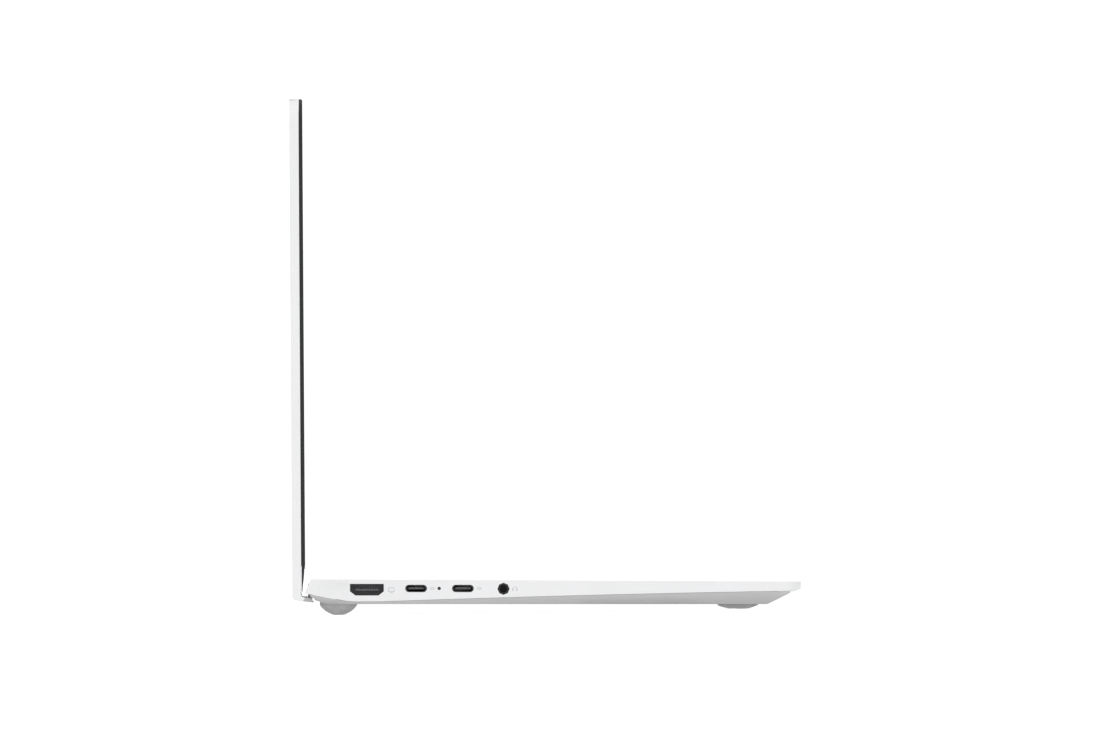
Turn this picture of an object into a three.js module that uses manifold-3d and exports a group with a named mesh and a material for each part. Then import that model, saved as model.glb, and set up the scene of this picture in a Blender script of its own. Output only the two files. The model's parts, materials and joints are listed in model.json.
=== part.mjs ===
// A slim 14-inch laptop computer, standing open at about a right angle.
// Millimetres and degrees. X runs across the width (the user's left is -X), Y runs towards the back
// and Z is up. Three frames are nested: the floor, the base (tilted on its taller rear feet) and,
// turning on the hinge axis, the lid. The keyboard and touchpad are drawn in the deck's own plane.
import * as THREE from 'three';
import { mergeVertices } from 'three/addons/utils/BufferGeometryUtils.js';
import Module from 'manifold-3d';

const wasm = await Module();
wasm.setup();
const radians = THREE.MathUtils.degToRad;

// ---------------------------------------------------------------- driving dimensions
const GAP = 0.3; // clearance between pieces that touch on the real object
const WIDTH = 313.4;
const HALF = WIDTH / 2;
const CORNER_RADIUS = 10; // front corners of the base and top corners of the lid
const CURVE_SEGMENTS = 4; // per arc, on small outlines
const CORNER_SEGMENTS = 12; // per arc, on the large corners
const EDGE_ROUND = 0.4; // the small round along the front edge and the lid's top edge

// Base: Y = 0 is the rear datum, Z = 0 its flat underside
const BASE_FRONT = -208.6;
const DECK_REAR = 10.7; // deck height at Y = 0
const DECK_FALL = 0.26; // the deck falls this many degrees towards the front
const WALL = 1.7;
const PLATE = 1.8; // thickness of the deck
const BEAM_FRONT = -9.5; // the solid rear beam ends here
const FRONT_WALL = -205.5;
const COVER_WALL = 1.2;
const COVER_RIM = 3; // the cover's cavity stays this far inside its edge
const BEVEL_RATIO = 2; // run over rise of the bevel round the underside
const COVER_REAR = 1.2; // the cheeks of the cover run back to here
const CHEEK_HEEL = [[-0.7, 2.25], [-0.9, 1.67]]; // their undersides step down under the hook's end
const COVER_FRONT = -204;

// Hinge axis in the base frame, and the lid's layers measured back from that axis
const HINGE_Y = -0.3;
const HINGE_Z = 7.3;
const LID_LEAN = 0.37; // degrees behind square to the base
const LID_TOP = 208.7;
const LID_FACE = 3.75;
const BEZEL_BACK = 4.9;
const SHELL_FRONT = 5.2;
const SHELL_FLOOR = 7.9;
const LID_BACK = 9.15;

// Hook under the base's nose, and the relief that it swings through
const CHEEK = 24; // width at each end where the base keeps its full underside
const RELIEF_INNER = 4.5;
const RELIEF_OUTER = 7.1;
const RELIEF_START = -78; // degrees round the hinge axis, 0 straight back
const RELIEF_END = -138;
const RELIEF_FRONT = -6.4; // the cover between the cheeks ends here
const HOOK_SIDE_END = -52; // the full-width part of the hook ends at this angle

// Hinges: one arm barrel on the lid and one bracket barrel in the base, on a common pin. The arm
// leaves its barrel downwards and joins the lid inside the hook, so the deck above stays closed.
const HINGE_X = 105;
const BARREL_RADIUS = 2.6;
const BORE_RADIUS = 1.5;
const PIN_RADIUS = 1.2;
const FLANGE_RADIUS = 2.2;
const TUNNEL_RADIUS = 2.95;
const TUNNEL_HALF = 9.6;
const BARREL_INNER = -8.5; // barrel ends, measured outwards from the hinge middle
const BARREL_SPLIT = [1.6, 2.1];
const BARREL_OUTER = 8.4;
const ARM = { front: 0.6, link: 2.4, rear: 7.4, plate: 5.9, sole: -5, heel: -3.95, leaf: 8.6 };
const LEAF = { inner: -26, outer: 14, front: 5.6, low: 0.6 };
const SWING_RADIUS = 5.9;
const SWING_ANGLES = [80, -136]; // what the arm sweeps, degrees round the axis, 0 straight back
const SWING_TOP = 2.75;

// Keyboard, in the deck plane
const UNIT = 18.6;
const KEY_SPACING = 3.4;
const KEY_DEPTH = 15.2;
const FUNCTION_DEPTH = 9.2;
const FUNCTION_Y = -28.5;
const KEY_COLUMNS = 15;
const KEYBOARD_LEFT = -KEY_COLUMNS * UNIT / 2;
const CAP_TOP = -0.1;
const KEY_PLAY = 0.4;
const WELL_DEPTH = 0.9;
const WELL_MARGIN = 2.2;
const WEB_TOP = -PLATE - GAP;
const WEB_BOTTOM = WEB_TOP - 0.6;
const WEB_DEPTH = 6;
const SUPPORT_TOP = -4.2;
const SUPPORT_BOTTOM = -4.7;

// Touchpad, in the deck plane
const PAD = { width: 112, rear: -134, front: -202, thickness: 2.2, top: -0.05 };
const PAD_PLAY = 0.35;

// Feet: rear and front, radius and height below the underside
const REAR_FOOT = { x: HALF - 12.5, y: -11, radius: 7.9, drop: 4.57 };
const FRONT_FOOT = { x: 132, y: -183.6, radius: 6.95, drop: 1.92 };
const FOOT_FLAT = 1.5;
const FOOT_TOP_GAP = 0.42;

// Screws that hold the cover: name, X, Y
const SCREWS = [
  ['rear_left', -130, -14],
  ['rear_middle', 0, -14],
  ['rear_right', 130, -14],
  ['side_left', -145, -104],
  ['side_right', 145, -104],
  ['front_left', -112, -188],
  ['front_right', 112, -188],
];
const BOSS_RADIUS = 2.8;
const PILOT_RADIUS = 1.2;
const SHANK_RADIUS = 0.9;
const HEAD_RADIUS = 2.1;
const PAD_RADIUS = 4;
const PAD_HEIGHT = 2.2;
const COUNTERBORE = 1.2;

// Ports: centre along Y and Z on the side wall
const PORT_DEPTH = 11.4;
const PORT_FACE = HALF - WALL - GAP;
const USB_C = { width: 9.3, height: 3.2, z: 6.74, rear: -44.05, front: -64.05 };
const JACK = { y: -81.4, z: 6.6, radius: 2.6, bore: 1.75 };
const LIGHT = { y: -53.9, z: 6.78, radius: 0.45 };
const USB_A = { width: 13.1, height: 5.2, z: 6.3, rear: -26, front: -45 };
const CARD_SLOT = { width: 12.4, height: 1.5, z: 6.3, y: -63 };
const LOCK_SLOT = { width: 6.2, height: 2.6, z: 6.3, y: -78 };

// ---------------------------------------------------------------- finishes
const WHITE = { color: 0xe9eaec, roughness: 0.5, metalness: 0.05 };
const UNDERSIDE = { color: 0xc4c6c9, roughness: 0.55, metalness: 0.05 };
const BLACK = { color: 0x1c1d20, roughness: 0.6, metalness: 0 };
const GLASS = { color: 0x0b0c0f, roughness: 0.2, metalness: 0 };
const KEYCAP = { color: 0xe2e3e5, roughness: 0.6, metalness: 0 };
const RUBBER = { color: 0x8f9194, roughness: 0.85, metalness: 0 };
const STEEL = { color: 0x9a9da1, roughness: 0.35, metalness: 0.9 };
const COPPER = { color: 0xb06a3c, roughness: 0.35, metalness: 0.95 };
const BOARD = { color: 0x17402c, roughness: 0.6, metalness: 0.1 };
const LIGHT_GUIDE = { color: 0xf4f4f0, roughness: 0.3, metalness: 0 };

// ---------------------------------------------------------------- solids and booleans
function solid(geometry) {
  geometry.deleteAttribute('normal');
  geometry.deleteAttribute('uv');
  const merged = mergeVertices(geometry);
  return new wasm.Manifold(new wasm.Mesh({
    numProp: 3,
    vertProperties: new Float32Array(merged.attributes.position.array),
    triVerts: new Uint32Array(merged.index.array),
  }));
}

function meshGeometry(body) {
  const mesh = body.getMesh();
  const geometry = new THREE.BufferGeometry();
  geometry.setAttribute('position', new THREE.BufferAttribute(mesh.vertProperties, 3));
  geometry.setIndex(new THREE.BufferAttribute(mesh.triVerts, 1));
  geometry.computeVertexNormals();
  return geometry;
}

const union = (bodies) => bodies.reduce((whole, body) => whole.add(body));
const without = (body, cutters) => cutters.reduce((rest, cutter) => rest.subtract(cutter), body);

function box([left, right], [front, rear], [bottom, top], frame = null) {
  const geometry = new THREE.BoxGeometry(right - left, rear - front, top - bottom);
  geometry.translate((left + right) / 2, (front + rear) / 2, (bottom + top) / 2);
  return solid(frame ? geometry.applyMatrix4(frame) : geometry);
}

function extrusion(shape, depth, [xImage, yImage, depthImage], origin, frame = null) {
  const curveSegments = shape.userData?.segments ?? CURVE_SEGMENTS;
  const geometry = new THREE.ExtrudeGeometry(shape, { depth, bevelEnabled: false, curveSegments });
  const basis = new THREE.Matrix4().makeBasis(xImage, yImage, depthImage);
  geometry.applyMatrix4(basis.setPosition(origin));
  return solid(frame ? geometry.applyMatrix4(frame) : geometry);
}

const AXIS_X = new THREE.Vector3(1, 0, 0);
const AXIS_Y = new THREE.Vector3(0, 1, 0);
const AXIS_Z = new THREE.Vector3(0, 0, 1);

// A (Y, Z) outline, run across the width from left to right
function across(shape, left, right) {
  return extrusion(shape, right - left, [AXIS_Y, AXIS_Z, AXIS_X], new THREE.Vector3(left, 0, 0));
}

// An (X, Y) outline, raised from bottom to top
function raised(shape, bottom, top, frame = null) {
  return extrusion(shape, top - bottom, [AXIS_X, AXIS_Y, AXIS_Z], new THREE.Vector3(0, 0, bottom), frame);
}

// An (X, Z) outline, run through from front to rear
function through(shape, front, rear) {
  const forward = AXIS_Y.clone().negate();
  return extrusion(shape, rear - front, [AXIS_X, AXIS_Z, forward], new THREE.Vector3(0, rear, 0));
}

function polygon(points) {
  return new THREE.Shape(points.map(([u, v]) => new THREE.Vector2(u, v)));
}

function roundedRectangle(u, v, width, height, radius) {
  const [left, right] = [u - width / 2, u + width / 2];
  const [low, high] = [v - height / 2, v + height / 2];
  const shape = new THREE.Shape();
  shape.moveTo(left + radius, low);
  shape.lineTo(right - radius, low);
  shape.absarc(right - radius, low + radius, radius, -Math.PI / 2, 0);
  shape.lineTo(right, high - radius);
  shape.absarc(right - radius, high - radius, radius, 0, Math.PI / 2);
  shape.lineTo(left + radius, high);
  shape.absarc(left + radius, high - radius, radius, Math.PI / 2, Math.PI);
  shape.lineTo(left, low + radius);
  shape.absarc(left + radius, low + radius, radius, Math.PI, Math.PI * 1.5);
  return shape;
}

// Marks an outline whose arcs are large enough to need the finer division
function fine(shape) {
  shape.userData = { segments: CORNER_SEGMENTS };
  return shape;
}

// A cylinder along Z, or along X when it lies across the width
function post(radius, x, y, bottom, top, sides = 16) {
  const geometry = new THREE.CylinderGeometry(radius, radius, top - bottom, sides);
  geometry.rotateX(Math.PI / 2);
  return solid(geometry.translate(x, y, (bottom + top) / 2));
}

function rod(radius, left, right, y, z, sides = 20) {
  const geometry = new THREE.CylinderGeometry(radius, radius, right - left, sides);
  geometry.rotateZ(Math.PI / 2);
  return solid(geometry.translate((left + right) / 2, y, z));
}

// A part of a ring round the point (y, z), as a (Y, Z) outline
function ringSector(y, z, inner, outer, from, to) {
  const shape = new THREE.Shape();
  shape.absarc(y, z, outer, radians(from), radians(to), from > to);
  shape.absarc(y, z, inner, radians(to), radians(from), to > from);
  return shape;
}

// A closed skin over rings of (X, Z) points, each ring at its own Y
function loft(stations) {
  const count = stations[0].ring.length;
  const positions = stations.flatMap(({ y, ring }) => ring.flatMap(([x, z]) => [x, y, z]));
  const triangles = [];
  for (let station = 0; station < stations.length - 1; station++) {
    for (let corner = 0; corner < count; corner++) {
      const near = station * count + corner;
      const next = station * count + (corner + 1) % count;
      triangles.push(near, next, near + count, next, next + count, near + count);
    }
  }
  const last = (stations.length - 1) * count;
  for (let corner = 1; corner < count - 1; corner++) {
    triangles.push(0, corner + 1, corner);
    triangles.push(last, last + corner, last + corner + 1);
  }
  const geometry = new THREE.BufferGeometry();
  geometry.setAttribute('position', new THREE.Float32BufferAttribute(positions, 3));
  geometry.setIndex(triangles);
  return solid(geometry);
}

function piece(parent, name, body, finish) {
  const mesh = new THREE.Mesh(meshGeometry(body), new THREE.MeshStandardMaterial(finish));
  mesh.name = name;
  parent.add(mesh);
}

// Builds a piece for each side: side is -1 on the left and 1 on the right
function onBothSides(build) {
  build(-1, 'left');
  build(1, 'right');
}

// The interval between two distances from the middle, on one side
const sideRange = (side, near, far) => (side > 0 ? [near, far] : [-far, -near]);

// ---------------------------------------------------------------- frames
const laptop = new THREE.Group();
const footSlope = Math.atan((REAR_FOOT.drop - FRONT_FOOT.drop) / (REAR_FOOT.y - FRONT_FOOT.y));
const base = new THREE.Group();
base.rotation.x = footSlope;
base.position.z = REAR_FOOT.drop * Math.cos(footSlope) - REAR_FOOT.y * Math.sin(footSlope);
const deck = new THREE.Group();
deck.position.z = DECK_REAR;
deck.rotation.x = radians(DECK_FALL);
deck.updateMatrix();
const lid = new THREE.Group();
lid.position.set(0, HINGE_Y, HINGE_Z);
lid.rotation.x = -radians(LID_LEAN);
laptop.add(base);
base.add(deck, lid);

const deckHeight = (y) => DECK_REAR + y * Math.tan(radians(DECK_FALL));

// ---------------------------------------------------------------- keyboard layout
// Each block is a run of keys that share one sprung carrier. Widths are in key units; a pair is
// two half-depth keys, one behind the other.
const ONE = 1;
const PAIR = 'pair';
const KEY_BLOCKS = [
  { name: 'function_keys', row: 0, from: 0, keys: Array(KEY_COLUMNS - 1).fill(ONE) },
  { name: 'number_keys', row: 1, from: 0, keys: [...Array(13).fill(ONE), 2] },
  { name: 'upper_letter_keys', row: 2, from: 0, keys: [1.5, ...Array(12).fill(ONE), 1.5] },
  { name: 'home_letter_keys', row: 3, from: 0, keys: [1.75, ...Array(11).fill(ONE), 2.25] },
  { name: 'lower_letter_keys', row: 4, from: 0, keys: [2.25, ...Array(10).fill(ONE), 2.75] },
  { name: 'modifier_keys', row: 5, from: 0, keys: [1.25, ONE, ONE, 1.25] },
  { name: 'space_bar', row: 5, from: 4.5, keys: [5.5] },
  { name: 'arrow_keys', row: 5, from: 10, keys: [ONE, ONE, ONE, PAIR, ONE] },
];
const POWER_COLUMN = KEY_COLUMNS - 1;
const FIRST_ROW_STEP = (FUNCTION_DEPTH + KEY_DEPTH) / 2 + KEY_SPACING;
const rowDepth = (row) => (row === 0 ? FUNCTION_DEPTH : KEY_DEPTH);
const rowCentre = (row) => (row === 0 ? FUNCTION_Y : FUNCTION_Y - FIRST_ROW_STEP - (row - 1) * UNIT);

function keyCell(row, from, units) {
  return {
    x: KEYBOARD_LEFT + (from + units / 2) * UNIT,
    y: rowCentre(row),
    width: units * UNIT - KEY_SPACING,
    depth: rowDepth(row),
  };
}

function cellsOf(block) {
  let from = block.from;
  return block.keys.flatMap((units) => {
    const cell = keyCell(block.row, from, units === PAIR ? ONE : units);
    from += units === PAIR ? ONE : units;
    if (units !== PAIR) return [cell];
    const half = (cell.depth - 2 * KEY_PLAY - GAP) / 2;
    const shift = (cell.depth - half) / 2;
    return [{ ...cell, depth: half, y: cell.y + shift }, { ...cell, depth: half, y: cell.y - shift }];
  });
}

function cellBox(cell, grow, bottom, top, frame = null) {
  const halfWidth = cell.width / 2 + grow;
  const halfDepth = cell.depth / 2 + grow;
  return box([cell.x - halfWidth, cell.x + halfWidth], [cell.y - halfDepth, cell.y + halfDepth],
    [bottom, top], frame);
}

const powerCell = keyCell(0, POWER_COLUMN, ONE);

// ---------------------------------------------------------------- base: outer form
// The seam between the top case and the bottom cover, from the rear corner to the front edge
const SEAM_REAR = [[-0.2, 4.15], [-4.1, 3.3], [-9.2, 2.3], [-14.3, 1.4], [-18, 1.15]];
const SEAM_START = [-29, 1.2];
const SEAM_RISE = 4.55;
const SEAM_BOW = 0.36;
const SEAM_STEPS = 7;
const seam = [...SEAM_REAR];
for (let step = 0; step <= SEAM_STEPS; step++) {
  const along = step / SEAM_STEPS;
  const y = THREE.MathUtils.lerp(SEAM_START[0], COVER_FRONT, along);
  seam.push([y, SEAM_START[1] + SEAM_RISE * along * (1 + SEAM_BOW - SEAM_BOW * along)]);
}

// Height along a chain of (Y, Z) points that runs towards the front
function heightOn(chain, y) {
  const end = chain.findIndex(([pointY]) => pointY <= y);
  if (end === 0) return chain[0][1];
  const [[y0, z0], [y1, z1]] = [chain[end - 1], chain[end]];
  return z0 + (z1 - z0) * (y - y0) / (y1 - y0);
}

const UNDERSIDE_LINE = [[COVER_REAR, 3.4], ...CHEEK_HEEL, [-6.5, 0], [-194.3, 0], [COVER_FRONT, 4.85]];
const PLAN_TAIL = 40; // a plan outline runs on this far past the hinge side, where nothing rounds it

// A plan outline with two rounded corners at its far edge, which is on the negative or positive side
function planShape(halfWidth, edge, radius) {
  const tail = -Math.sign(edge) * PLAN_TAIL;
  return fine(roundedRectangle(0, (edge + tail) / 2, 2 * halfWidth, Math.abs(edge - tail), radius));
}

const planOutline = planShape(HALF, BASE_FRONT, CORNER_RADIUS);

// The lip under the front edge, and the heights where the upright front face starts and ends
const FRONT_LIP = [[-205, 5.78], [-205.9, 5.5], [-208.2, 6.45]];
const FRONT_FACE_LOW = 6.6;
const frontTop = deckHeight(BASE_FRONT);

function topCaseOutline() {
  const shape = new THREE.Shape();
  shape.moveTo(0.7, deckHeight(0.7));
  shape.lineTo(3.5, 5.1);
  shape.quadraticCurveTo(3.3, 4.3, 2.6, 4.3);
  seam.forEach(([y, z]) => shape.lineTo(y, z));
  FRONT_LIP.forEach(([y, z]) => shape.lineTo(y, z));
  shape.quadraticCurveTo(BASE_FRONT, FRONT_FACE_LOW, BASE_FRONT, FRONT_FACE_LOW + EDGE_ROUND);
  shape.lineTo(BASE_FRONT, frontTop - EDGE_ROUND);
  shape.quadraticCurveTo(BASE_FRONT, frontTop, BASE_FRONT + EDGE_ROUND, frontTop);
  return shape;
}

const reliefSpan = [-(HALF - CHEEK), HALF - CHEEK];
const relief = across(ringSector(HINGE_Y, HINGE_Z, RELIEF_INNER, RELIEF_OUTER,
  RELIEF_START, RELIEF_END), ...reliefSpan);

// ---------------------------------------------------------------- port shapes on the side wall
const VIDEO_MOUTH = [[-15.8, 8.7], [-30.25, 8.7], [-30.25, 5.5], [-28, 3.74], [-18.1, 3.74], [-15.8, 5.5]];
const VIDEO_BODY = [[-15.3, 9.1], [-30.75, 9.1], [-30.75, 5.25], [-28.25, 3.25], [-17.8, 3.25], [-15.3, 5.25]];
const VIDEO_TONGUE = [[-28.2, -17.9], [5.75, 6.4]];
const stadium = (y, z, width, height) => roundedRectangle(y, z, width, height, height / 2 - 0.01);
const slotShape = ({ y, z, width, height }) => roundedRectangle(y, z, width, height, 0.5);

function circle(y, z, radius) {
  const shape = new THREE.Shape();
  shape.absarc(y, z, radius, 0, Math.PI * 2);
  return shape;
}

function wallCut(side, shape) {
  return across(shape, ...sideRange(side, HALF - WALL - 1, HALF + 1));
}

// ---------------------------------------------------------------- top case
const PORT_BAY = { inner: 141, front: -95, rear: BEAM_FRONT - 3, low: -6, high: -1.1 }; // deck thinned
const EXHAUST = { first: 48, count: 9, step: 5, width: 3.4, low: 5.6, high: 7.6 };

function keyboardWell() {
  const rear = FUNCTION_Y + FUNCTION_DEPTH / 2 + WELL_MARGIN;
  const front = rowCentre(5) - KEY_DEPTH / 2 - WELL_MARGIN;
  const width = KEY_COLUMNS * UNIT - KEY_SPACING + 2 * WELL_MARGIN;
  const shape = roundedRectangle(0, (rear + front) / 2, width, rear - front, 3);
  return raised(shape, -WELL_DEPTH, 1, deck.matrix);
}

// The space that the hinge arms take across the width, with some play
function armSpan(side, play) {
  return sideRange(side, HINGE_X + BARREL_INNER - play, HINGE_X + BARREL_SPLIT[0] + play);
}

function hingeCuts(side) {
  const middle = side * HINGE_X;
  const tunnel = rod(TUNNEL_RADIUS, middle - TUNNEL_HALF, middle + TUNNEL_HALF, HINGE_Y, HINGE_Z, 28);
  const sweep = across(ringSector(HINGE_Y, HINGE_Z, 0.1, SWING_RADIUS, ...SWING_ANGLES),
    ...armSpan(side, GAP));
  const swing = sweep.intersect(box([-HALF, HALF], [-20, 20], [-5, HINGE_Z + SWING_TOP]));
  const bridge = sideRange(side, HINGE_X + BARREL_SPLIT[1] - GAP, HINGE_X + BARREL_OUTER + GAP);
  const window = box(bridge, [BEAM_FRONT - 1, HINGE_Y], [HINGE_Z - 1.1, HINGE_Z + 1.5]);
  return [tunnel, swing, window];
}

function topCase() {
  const rough = across(topCaseOutline(), -HALF, HALF).intersect(raised(planOutline, -1, 20));
  const inside = HALF - WALL;
  const cavity = box([-inside, inside], [FRONT_WALL, BEAM_FRONT], [-20, -PLATE], deck.matrix)
    .intersect(raised(planShape(inside, FRONT_WALL, CORNER_RADIUS - WALL), -20, 20));
  const bays = [-1, 1].map((side) => box(sideRange(side, PORT_BAY.inner, inside),
    [PORT_BAY.front, PORT_BAY.rear], [PORT_BAY.low, PORT_BAY.high], deck.matrix));
  const hollow = without(rough, [cavity, ...bays, relief]);
  const bosses = SCREWS.map(([, x, y]) => post(BOSS_RADIUS, x, y, PAD_HEIGHT + GAP, deckHeight(y) - 1));
  const pilots = SCREWS.map(([, x, y]) => post(PILOT_RADIUS, x, y, 0, 7, 12));
  const keyHoles = [...KEY_BLOCKS.flatMap(cellsOf), powerCell]
    .map((cell) => cellBox(cell, KEY_PLAY, -PLATE - 1, 1, deck.matrix));
  const padHole = raised(roundedRectangle(0, (PAD.rear + PAD.front) / 2, PAD.width + 2 * PAD_PLAY,
    PAD.rear - PAD.front + 2 * PAD_PLAY, 3), -PLATE - 1, 1, deck.matrix);
  const exhaust = Array.from({ length: EXHAUST.count }, (_, index) => {
    const left = EXHAUST.first + index * EXHAUST.step;
    return box([left, left + EXHAUST.width], [BEAM_FRONT - 1, 6], [EXHAUST.low, EXHAUST.high]);
  });
  const leftPorts = [
    polygon(VIDEO_MOUTH),
    stadium(USB_C.rear, USB_C.z, USB_C.width, USB_C.height),
    stadium(USB_C.front, USB_C.z, USB_C.width, USB_C.height),
    circle(JACK.y, JACK.z, JACK.radius),
    circle(LIGHT.y, LIGHT.z, LIGHT.radius + GAP),
  ].map((shape) => wallCut(-1, shape));
  const rightPorts = [
    slotShape({ ...USB_A, y: USB_A.rear }),
    slotShape({ ...USB_A, y: USB_A.front }),
    slotShape(CARD_SLOT),
    slotShape(LOCK_SLOT),
  ].map((shape) => wallCut(1, shape));
  return without(union([hollow, ...bosses]), [
    ...pilots, keyboardWell(), ...keyHoles, padHole, ...exhaust,
    ...hingeCuts(-1), ...hingeCuts(1), ...leftPorts, ...rightPorts,
  ]);
}

// ---------------------------------------------------------------- bottom cover
const coverStations = [COVER_REAR, ...CHEEK_HEEL.map(([y]) => y), -4.1, -6.5,
  ...seam.slice(2, -1).map(([y]) => y), -194.3, COVER_FRONT];
const INTAKE = { x: 70, y: -52, columns: 9, rows: 3, step: 5, width: 2.6, length: 12 };
const GRILLE = { x: 118, y: -172, count: 9, step: 3.4, width: 1.4, length: 7 };

function coverForm() {
  return loft(coverStations.map((y) => {
    const top = heightOn(seam, y) - GAP;
    const bottom = heightOn(UNDERSIDE_LINE, y);
    const narrow = HALF - BEVEL_RATIO * (top - bottom);
    return { y, ring: [[-narrow, bottom], [narrow, bottom], [HALF, top], [-HALF, top]] };
  }));
}

function coverCavity() {
  const open = 20;
  const wide = HALF - COVER_RIM;
  const inner = coverStations.filter((y) => y < BEAM_FRONT && y > -194);
  return loft([BEAM_FRONT, ...inner, -196].map((y) => {
    const top = heightOn(seam, y) - GAP;
    const bottom = heightOn(UNDERSIDE_LINE, y) + COVER_WALL;
    const narrow = HALF - BEVEL_RATIO * (top - bottom + COVER_WALL) - 1;
    return { y, ring: [[-narrow, bottom], [narrow, bottom], [wide, top], [wide, open], [-wide, open],
      [-wide, top]] };
  }));
}

function grilles() {
  const slots = [];
  for (let row = 0; row < INTAKE.rows; row++) {
    for (let column = 0; column < INTAKE.columns; column++) {
      const x = INTAKE.x + (column - (INTAKE.columns - 1) / 2) * INTAKE.step;
      const y = INTAKE.y + (row - (INTAKE.rows - 1) / 2) * (INTAKE.length + 2);
      slots.push(box([x - INTAKE.width / 2, x + INTAKE.width / 2],
        [y - INTAKE.length / 2, y + INTAKE.length / 2], [-1, COVER_WALL + 1]));
    }
  }
  onBothSides((side) => {
    for (let index = 0; index < GRILLE.count; index++) {
      const x = side * (GRILLE.x + (index - (GRILLE.count - 1) / 2) * GRILLE.step);
      slots.push(box([x - GRILLE.width / 2, x + GRILLE.width / 2],
        [GRILLE.y, GRILLE.y + GRILLE.length], [-1, COVER_WALL + 1]));
    }
  });
  return slots;
}

function bottomCover() {
  const form = coverForm().intersect(raised(planOutline, -1, 20));
  const middle = box(reliefSpan, [RELIEF_FRONT, 10], [-1, 20]);
  const tray = without(form, [coverCavity(), middle]);
  const pads = SCREWS.map(([, x, y]) => post(PAD_RADIUS, x, y, 0, PAD_HEIGHT));
  const holes = SCREWS.map(([, x, y]) => post(PILOT_RADIUS, x, y, -1, PAD_HEIGHT + 1, 12));
  const sinks = SCREWS.map(([, x, y]) => post(HEAD_RADIUS + GAP, x, y, -1, COUNTERBORE));
  return without(union([tray, ...pads]), [...holes, ...sinks, ...grilles()]);
}

function coverScrew(x, y) {
  const head = post(HEAD_RADIUS, x, y, 0.1, COUNTERBORE - GAP, 16);
  const socket = post(0.8, x, y, 0, 0.5, 6);
  return head.add(post(SHANK_RADIUS, x, y, 0.5, 6, 12)).subtract(socket);
}

// ---------------------------------------------------------------- keyboard and touchpad
function keyBlock(block) {
  const cells = cellsOf(block);
  const caps = cells.map((cell) => cellBox(cell, 0, WEB_TOP - GAP, CAP_TOP));
  const ends = [cells[0], cells[cells.length - 1]];
  const reach = 3;
  const web = box([ends[0].x - reach, ends[1].x + reach],
    [rowCentre(block.row) - WEB_DEPTH / 2, rowCentre(block.row) + WEB_DEPTH / 2], [WEB_BOTTOM, WEB_TOP]);
  return union([web, ...caps]);
}

function powerButton() {
  const cap = cellBox(powerCell, 0, WEB_TOP - GAP, CAP_TOP);
  return cap.add(cellBox(powerCell, 0.9, WEB_BOTTOM, WEB_TOP));
}

function keyboardSupport() {
  const half = KEY_COLUMNS * UNIT / 2 + 1;
  const plate = box([-half, half], [rowCentre(5) - KEY_DEPTH / 2, FUNCTION_Y + FUNCTION_DEPTH / 2],
    [SUPPORT_BOTTOM, SUPPORT_TOP]);
  const studs = [2, 3, 4, 5].flatMap((row) => [-110, 0, 110]
    .map((x) => post(1.2, x, rowCentre(row) + UNIT / 2, SUPPORT_BOTTOM, -PLATE - GAP, 8)));
  return union([plate, ...studs]);
}

function touchpad() {
  const middle = (PAD.rear + PAD.front) / 2;
  const sheet = raised(roundedRectangle(0, middle, PAD.width, PAD.rear - PAD.front, 3),
    PAD.top - PAD.thickness, PAD.top);
  const board = box([-30, 30], [middle - 12, middle + 12],
    [PAD.top - PAD.thickness - 0.8, PAD.top - PAD.thickness + 0.2]);
  return sheet.add(board);
}

// ---------------------------------------------------------------- inside the base
const FAN = { x: 70, y: -52, half: 28, bottom: 1.6, top: 5.25, chamber: 24, intake: 17, blades: 15 };

function fanHousing() {
  const { x, y, half, bottom, top, chamber, intake } = FAN;
  const wall = 0.5;
  const shell = box([x - half, x + half], [y - half, y + half], [bottom, top]);
  const room = post(chamber, x, y, bottom + wall, top - wall, 32);
  const mouth = box([x - chamber + 2, x + chamber - 2], [y, y + half + 1], [bottom + wall, top - wall]);
  const hole = post(intake, x, y, bottom - 1, bottom + wall + 0.1, 32);
  const spindle = post(1.2, x, y, bottom + 1.5, top - wall + 0.1, 12);
  return without(shell, [room, mouth, hole]).add(spindle);
}

function fanRotor() {
  const { x, y, bottom, top, blades } = FAN;
  const [low, high] = [bottom + 0.8, top - 0.8];
  const hub = post(9, x, y, low, high, 24);
  const vanes = Array.from({ length: blades }, (_, index) => {
    const geometry = new THREE.BoxGeometry(14, 0.8, high - low);
    geometry.translate(15.4, 0, 0).rotateZ(index * 2 * Math.PI / blades);
    return solid(geometry.translate(x, y, (low + high) / 2));
  });
  return union([hub, ...vanes]).subtract(post(1.2 + GAP, x, y, low + 0.4, high + 1, 12));
}

function mainboard() {
  const [low, high] = [2, 2.8];
  const board = box([-140, 36], [-82, -24], [low, high]);
  const processor = box([-36, -6], [-64, -40], [high - 0.1, high + 0.9]);
  const memory = [-72, -56].flatMap((x) => [-62, -46]
    .map((y) => box([x, x + 12], [y, y + 10], [high - 0.1, high + 0.8])));
  const connectors = [-118, -100].map((x) => box([x, x + 14], [-79, -74], [high - 0.1, high + 1.4]));
  return union([board, processor, ...memory, ...connectors]);
}

function heatPipe() {
  const [x, y, z] = [-21, -52, 4.4];
  const path = new THREE.CatmullRomCurve3([[x, y], [2, -48], [17, -34], [27, -20], [44, -17], [92, -17]]
    .map(([pointX, pointY]) => new THREE.Vector3(pointX, pointY, z)));
  const section = roundedRectangle(0, 0, 1.4, 6.4, 0.69);
  const settings = { extrudePath: path, steps: 16, curveSegments: 1, bevelEnabled: false };
  const pipe = solid(new THREE.ExtrudeGeometry(section, settings));
  const plate = box([x - 14, x + 14], [y - 11, y + 11], [4, 4.7]);
  return pipe.add(plate);
}

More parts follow.
